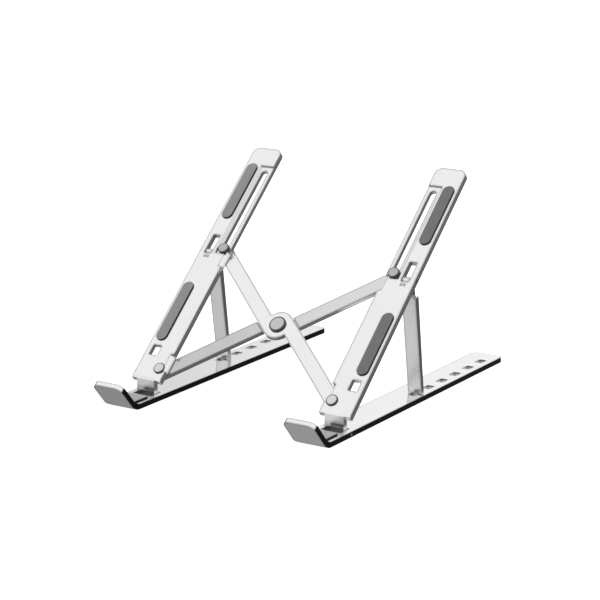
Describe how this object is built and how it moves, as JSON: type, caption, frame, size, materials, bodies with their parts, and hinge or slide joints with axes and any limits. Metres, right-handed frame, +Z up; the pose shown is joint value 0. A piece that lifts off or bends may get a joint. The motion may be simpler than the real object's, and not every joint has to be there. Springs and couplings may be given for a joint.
{
  "type": "folding laptop stand",
  "caption": "Folding aluminium laptop stand: hooked base rails, sloping padded arms on hinged struts, joined by a scissor cross bar linkage.",
  "frame": {"origin": "middle of the footprint, on the surface the stand rests on", "axes": "+X from the left side to the right side, +Y from the hooks to the rear ends of the rails, +Z up"},
  "size_m": [0.1642, 0.2422, 0.1413],
  "materials": {
    "aluminium": "satin anodised, edges slightly duller than the faces",
    "steel": "turned rivet head, satin",
    "pad_silicone": "matt, finely grained",
    "hook_silicone": "matt",
    "foot_rubber": "matt"
  },
  "bodies": {
    "left_base": {"left_base_rail": "aluminium", "left_hook_pad": "hook_silicone", "left_foot_front": "foot_rubber", "left_foot_rear": "foot_rubber", "left_hinge_pin": "steel"},
    "left_arm_body": {"left_arm": "aluminium", "left_upper_pad": "pad_silicone", "left_lower_pad": "pad_silicone", "left_lower_rivet": "steel", "left_strut_pin": "steel"},
    "left_strut_body": {"left_strut": "aluminium"},
    "bar_a_body": {"bar_a": "aluminium", "right_guide_pin": "steel"},
    "bar_b_body": {"bar_b": "aluminium", "left_guide_pin": "steel", "centre_rivet": "steel"},
    "right_arm_body": {"right_arm": "aluminium", "right_upper_pad": "pad_silicone", "right_lower_pad": "pad_silicone", "right_lower_rivet": "steel", "right_strut_pin": "steel"},
    "right_base": {"right_base_rail": "aluminium", "right_hook_pad": "hook_silicone", "right_foot_front": "foot_rubber", "right_foot_rear": "foot_rubber", "right_hinge_pin": "steel"},
    "right_strut_body": {"right_strut": "aluminium"}
  },
  "joints": [
    {"name": "arm_tilt", "type": "hinge", "parent": "left_base", "child": "left_arm_body", "pos_m": [-0.07085, -0.078, 0.00225], "axis": [1, 0, 0], "range_deg": [0, 48.3]},
    {"name": "left_strut_swing", "type": "hinge", "parent": "left_arm_body", "child": "left_strut_body", "pos_m": [-0.0751, -0.00077, 0.08101], "axis": [1, 0, 0], "range_deg": [-56, 0]},
    {"name": "right_base_swing", "type": "hinge", "parent": "right_arm_body", "child": "right_base", "pos_m": [0.07085, -0.078, 0.00225], "axis": [1, 0, 0], "range_deg": [-48.3, 0]},
    {"name": "right_strut_swing", "type": "hinge", "parent": "right_arm_body", "child": "right_strut_body", "pos_m": [0.0751, -0.00077, 0.08101], "axis": [1, 0, 0], "range_deg": [-56, 0]},
    {"name": "scissor", "type": "hinge", "parent": "left_arm_body", "child": "bar_a_body", "pos_m": [-0.06495, -0.06897, 0.01534], "axis": [0, -0.665, 0.7469], "range_deg": [0, 45]},
    {"name": "scissor_centre", "type": "hinge", "parent": "bar_a_body", "child": "bar_b_body", "pos_m": [0, -0.03248, 0.04782], "axis": [0, -0.665, 0.7469], "range_deg": [-90, 0]},
    {"name": "right_arm_swing", "type": "hinge", "parent": "bar_b_body", "child": "right_arm_body", "pos_m": [0.06495, -0.06897, 0.01534], "axis": [0, -0.665, 0.7469], "range_deg": [0, 45]}
  ],
  "couplings": [
    {"joint": "left_strut_swing", "follows": "arm_tilt", "ratio": -1.1594},
    {"joint": "right_base_swing", "follows": "arm_tilt", "ratio": -1},
    {"joint": "right_strut_swing", "follows": "arm_tilt", "ratio": -1.1594},
    {"joint": "scissor_centre", "follows": "scissor", "ratio": -2},
    {"joint": "right_arm_swing", "follows": "scissor", "ratio": 1}
  ]
}
